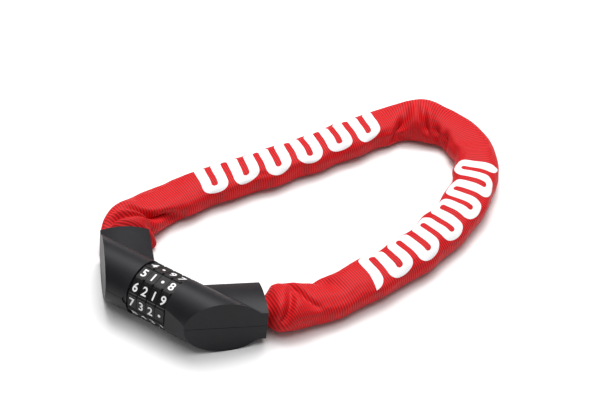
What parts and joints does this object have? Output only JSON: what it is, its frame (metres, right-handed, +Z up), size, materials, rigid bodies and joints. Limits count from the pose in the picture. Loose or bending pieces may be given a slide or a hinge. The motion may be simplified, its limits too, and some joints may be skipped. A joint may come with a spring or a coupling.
{
  "type": "combination chain lock",
  "caption": "Combination chain lock: number wheels on a slotted barrel between two angled housings, closed by a toothed bolt, with a square-link chain in a fabric sleeve.",
  "frame": {"origin": "bottom centre of the box round the two housings, on the surface that the lock lies on", "axes": "+X along the wheel axis from the lock housing to the bolt housing, +Y into the chain's loop, +Z up"},
  "size_m": [0.1881, 0.2631, 0.033],
  "materials": {
    "housing_plastic": "fine satin moulded charcoal plastic",
    "wheel_plastic": "satin near-black plastic with white numerals",
    "sleeve_fabric": "red ribbed tubular textile with a soft sheen and a white print",
    "chain_steel": "zinc-plated hardened steel",
    "pin_steel": "bright steel",
    "screw_steel": "blackened steel",
    "core_zinc": "die-cast zinc",
    "ring_zinc": "turned brass"
  },
  "bodies": {
    "lock_body": {"lock_cover_top": "housing_plastic", "lock_cover_bottom": "housing_plastic", "lock_core": "core_zinc", "lock_chain_pin": "pin_steel", "lock_end_link": "chain_steel", "lock_cover_screws": "screw_steel", "barrel": "core_zinc", "detent_spring": "pin_steel", "wheel_washer": "pin_steel", "retaining_clip": "pin_steel"},
    "wheel_1": {"number_wheel_1": "wheel_plastic", "code_ring_1": "ring_zinc"},
    "wheel_2": {"number_wheel_2": "wheel_plastic", "code_ring_2": "ring_zinc"},
    "wheel_3": {"number_wheel_3": "wheel_plastic", "code_ring_3": "ring_zinc"},
    "wheel_4": {"number_wheel_4": "wheel_plastic", "code_ring_4": "ring_zinc"},
    "chain_left": {"chain_link_left_01": "chain_steel", "chain_link_left_02": "chain_steel", "chain_link_left_03": "chain_steel", "chain_link_left_04": "chain_steel", "chain_link_left_05": "chain_steel", "chain_link_left_06": "chain_steel", "chain_link_left_07": "chain_steel", "chain_link_left_08": "chain_steel", "chain_link_left_09": "chain_steel", "chain_link_left_10": "chain_steel", "sleeve_left": "sleeve_fabric"},
    "chain_right": {"chain_link_right_01": "chain_steel", "chain_link_right_02": "chain_steel", "chain_link_right_03": "chain_steel", "chain_link_right_04": "chain_steel", "chain_link_right_05": "chain_steel", "chain_link_right_06": "chain_steel", "chain_link_right_07": "chain_steel", "chain_link_right_08": "chain_steel", "chain_link_right_09": "chain_steel", "chain_link_right_10": "chain_steel", "chain_link_right_11": "chain_steel", "chain_link_right_12": "chain_steel", "chain_link_right_13": "chain_steel", "chain_link_right_14": "chain_steel", "chain_link_right_15": "chain_steel", "chain_link_right_16": "chain_steel", "chain_link_right_17": "chain_steel", "chain_link_right_18": "chain_steel", "chain_link_right_19": "chain_steel", "sleeve_right": "sleeve_fabric"},
    "bolt_housing": {"bolt_cover_top": "housing_plastic", "bolt_cover_bottom": "housing_plastic", "bolt_core": "core_zinc", "bolt": "pin_steel", "bolt_cross_pin": "pin_steel", "bolt_chain_pin": "pin_steel", "bolt_end_link": "chain_steel", "bolt_cover_screws": "screw_steel"}
  },
  "joints": [
    {"name": "wheel_1_turn", "type": "hinge", "parent": "lock_body", "child": "wheel_1", "pos_m": [-0.00975, -0.01113, 0.0165], "axis": [1, 0, 0], "continuous": true},
    {"name": "wheel_2_turn", "type": "hinge", "parent": "lock_body", "child": "wheel_2", "pos_m": [-0.00325, -0.01113, 0.0165], "axis": [1, 0, 0], "continuous": true},
    {"name": "wheel_3_turn", "type": "hinge", "parent": "lock_body", "child": "wheel_3", "pos_m": [0.00325, -0.01113, 0.0165], "axis": [1, 0, 0], "continuous": true},
    {"name": "wheel_4_turn", "type": "hinge", "parent": "lock_body", "child": "wheel_4", "pos_m": [0.00975, -0.01113, 0.0165], "axis": [1, 0, 0], "continuous": true},
    {"name": "chain_open", "type": "hinge", "parent": "lock_body", "child": "chain_left", "pos_m": [-0.06087, 0.02641, 0.0086], "axis": [0, 0, -1], "range_deg": [0, 25]},
    {"name": "chain_fold", "type": "hinge", "parent": "chain_left", "child": "chain_right", "pos_m": [0, 0.16543, 0.0086], "axis": [0, 0, -1], "range_deg": [-50, 0]},
    {"name": "bolt_housing_turn", "type": "hinge", "parent": "chain_right", "child": "bolt_housing", "pos_m": [0.06087, 0.02641, 0.0086], "axis": [0, 0, -1], "range_deg": [0, 25]}
  ],
  "couplings": [
    {"joint": "chain_fold", "follows": "chain_open", "ratio": -2},
    {"joint": "bolt_housing_turn", "follows": "chain_open", "ratio": 1}
  ]
}
